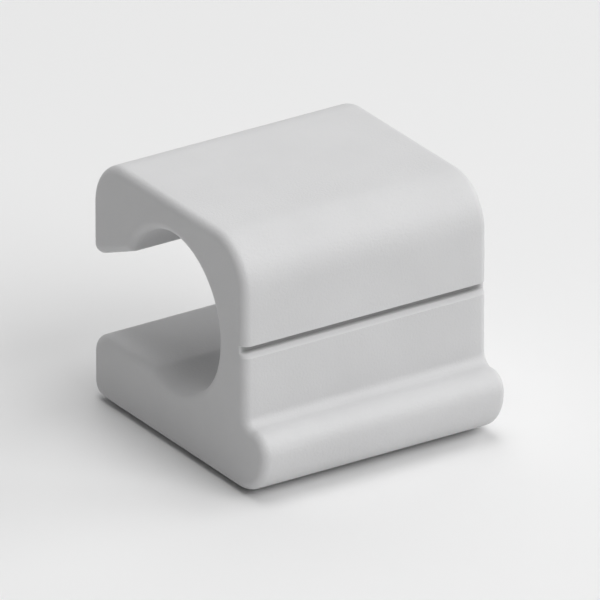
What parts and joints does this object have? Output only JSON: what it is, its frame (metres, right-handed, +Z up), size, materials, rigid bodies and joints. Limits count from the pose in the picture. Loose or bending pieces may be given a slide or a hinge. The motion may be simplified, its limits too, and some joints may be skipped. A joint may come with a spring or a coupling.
{
  "type": "cable clip",
  "caption": "Self-adhesive cable clip: a light-grey moulded hook with a round cable channel, a way in at the back past a hooked nose, a rounded front foot and a foam pad under its flat base.",
  "frame": {"origin": "on the surface that the clip stands on, under the middle of its box", "axes": "+X along the cable, -Y towards the front wall and its rounded foot, +Z up from the adhesive pad"},
  "size_m": [0.0164, 0.0178, 0.0153],
  "materials": {
    "moulded_plastic": "light grey, finely textured matt moulding",
    "adhesive_foam": "off-white closed-cell foam, dull"
  },
  "bodies": {
    "root": {"clip_body": "moulded_plastic", "adhesive_pad": "adhesive_foam"}
  },
  "joints": []
}
